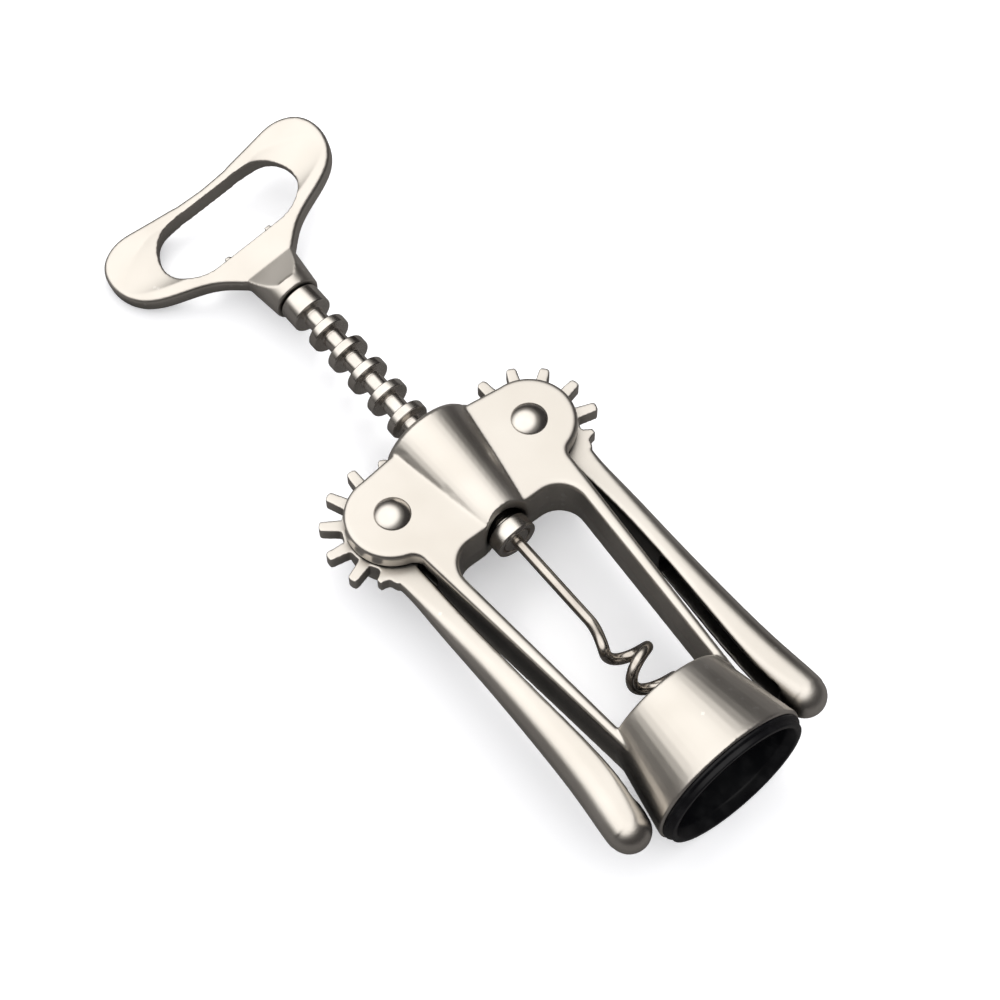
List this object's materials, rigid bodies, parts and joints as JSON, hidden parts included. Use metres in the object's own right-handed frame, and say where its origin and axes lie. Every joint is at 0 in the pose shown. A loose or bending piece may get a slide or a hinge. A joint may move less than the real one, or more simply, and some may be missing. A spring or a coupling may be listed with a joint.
{
  "type": "lever corkscrew",
  "caption": "Wing corkscrew: two geared levers drive a ringed rack spindle with worm and cap-lifter bow handle through a slotted frame with a lined bottle collar.",
  "frame": {"origin": "centre of the bottle collar's metal mouth, on the screw axis", "axes": "+Y along the screw axis from the mouth to the handle, +Z out of the front face, +X to the right lever"},
  "size_m": [0.0712, 0.1959, 0.0384],
  "materials": {
    "nickel_satin": "satin nickel plating over zinc casting",
    "nickel_bright": "polished nickel plating",
    "liner_black": "moulded, slightly glossy"
  },
  "bodies": {
    "frame": {"body_frame": "nickel_satin", "neck_liner": "liner_black", "left_rivet_post": "nickel_bright", "right_rivet_post": "nickel_bright", "left_rivet_cap": "nickel_bright", "right_rivet_cap": "nickel_bright"},
    "left_lever": {"left_lever": "nickel_satin"},
    "right_lever": {"right_lever": "nickel_satin"},
    "stop_collar": {"stop_collar": "nickel_bright"},
    "spindle": {"rack_spindle": "nickel_bright", "worm": "nickel_bright", "handle": "nickel_satin"}
  },
  "joints": [
    {"name": "left_lever_hinge", "type": "hinge", "parent": "frame", "child": "left_lever", "pos_m": [-0.01925, 0.091, 0], "axis": [0, 0, -1], "range_deg": [0, 140]},
    {"name": "right_lever_hinge", "type": "hinge", "parent": "frame", "child": "right_lever", "pos_m": [0.01925, 0.091, 0], "axis": [0, 0, 1], "range_deg": [0, 140]},
    {"name": "rack_slide", "type": "slide", "parent": "frame", "child": "stop_collar", "axis": [0, -1, 0], "range_m": [0, 0.0375]},
    {"name": "handle_spin", "type": "hinge", "parent": "stop_collar", "child": "spindle", "pos_m": [0, 0.073, 0], "axis": [0, -1, 0], "continuous": true}
  ],
  "couplings": [
    {"joint": "right_lever_hinge", "follows": "left_lever_hinge", "ratio": 1},
    {"joint": "rack_slide", "follows": "left_lever_hinge", "m_per_rad": 0.01531}
  ]
}
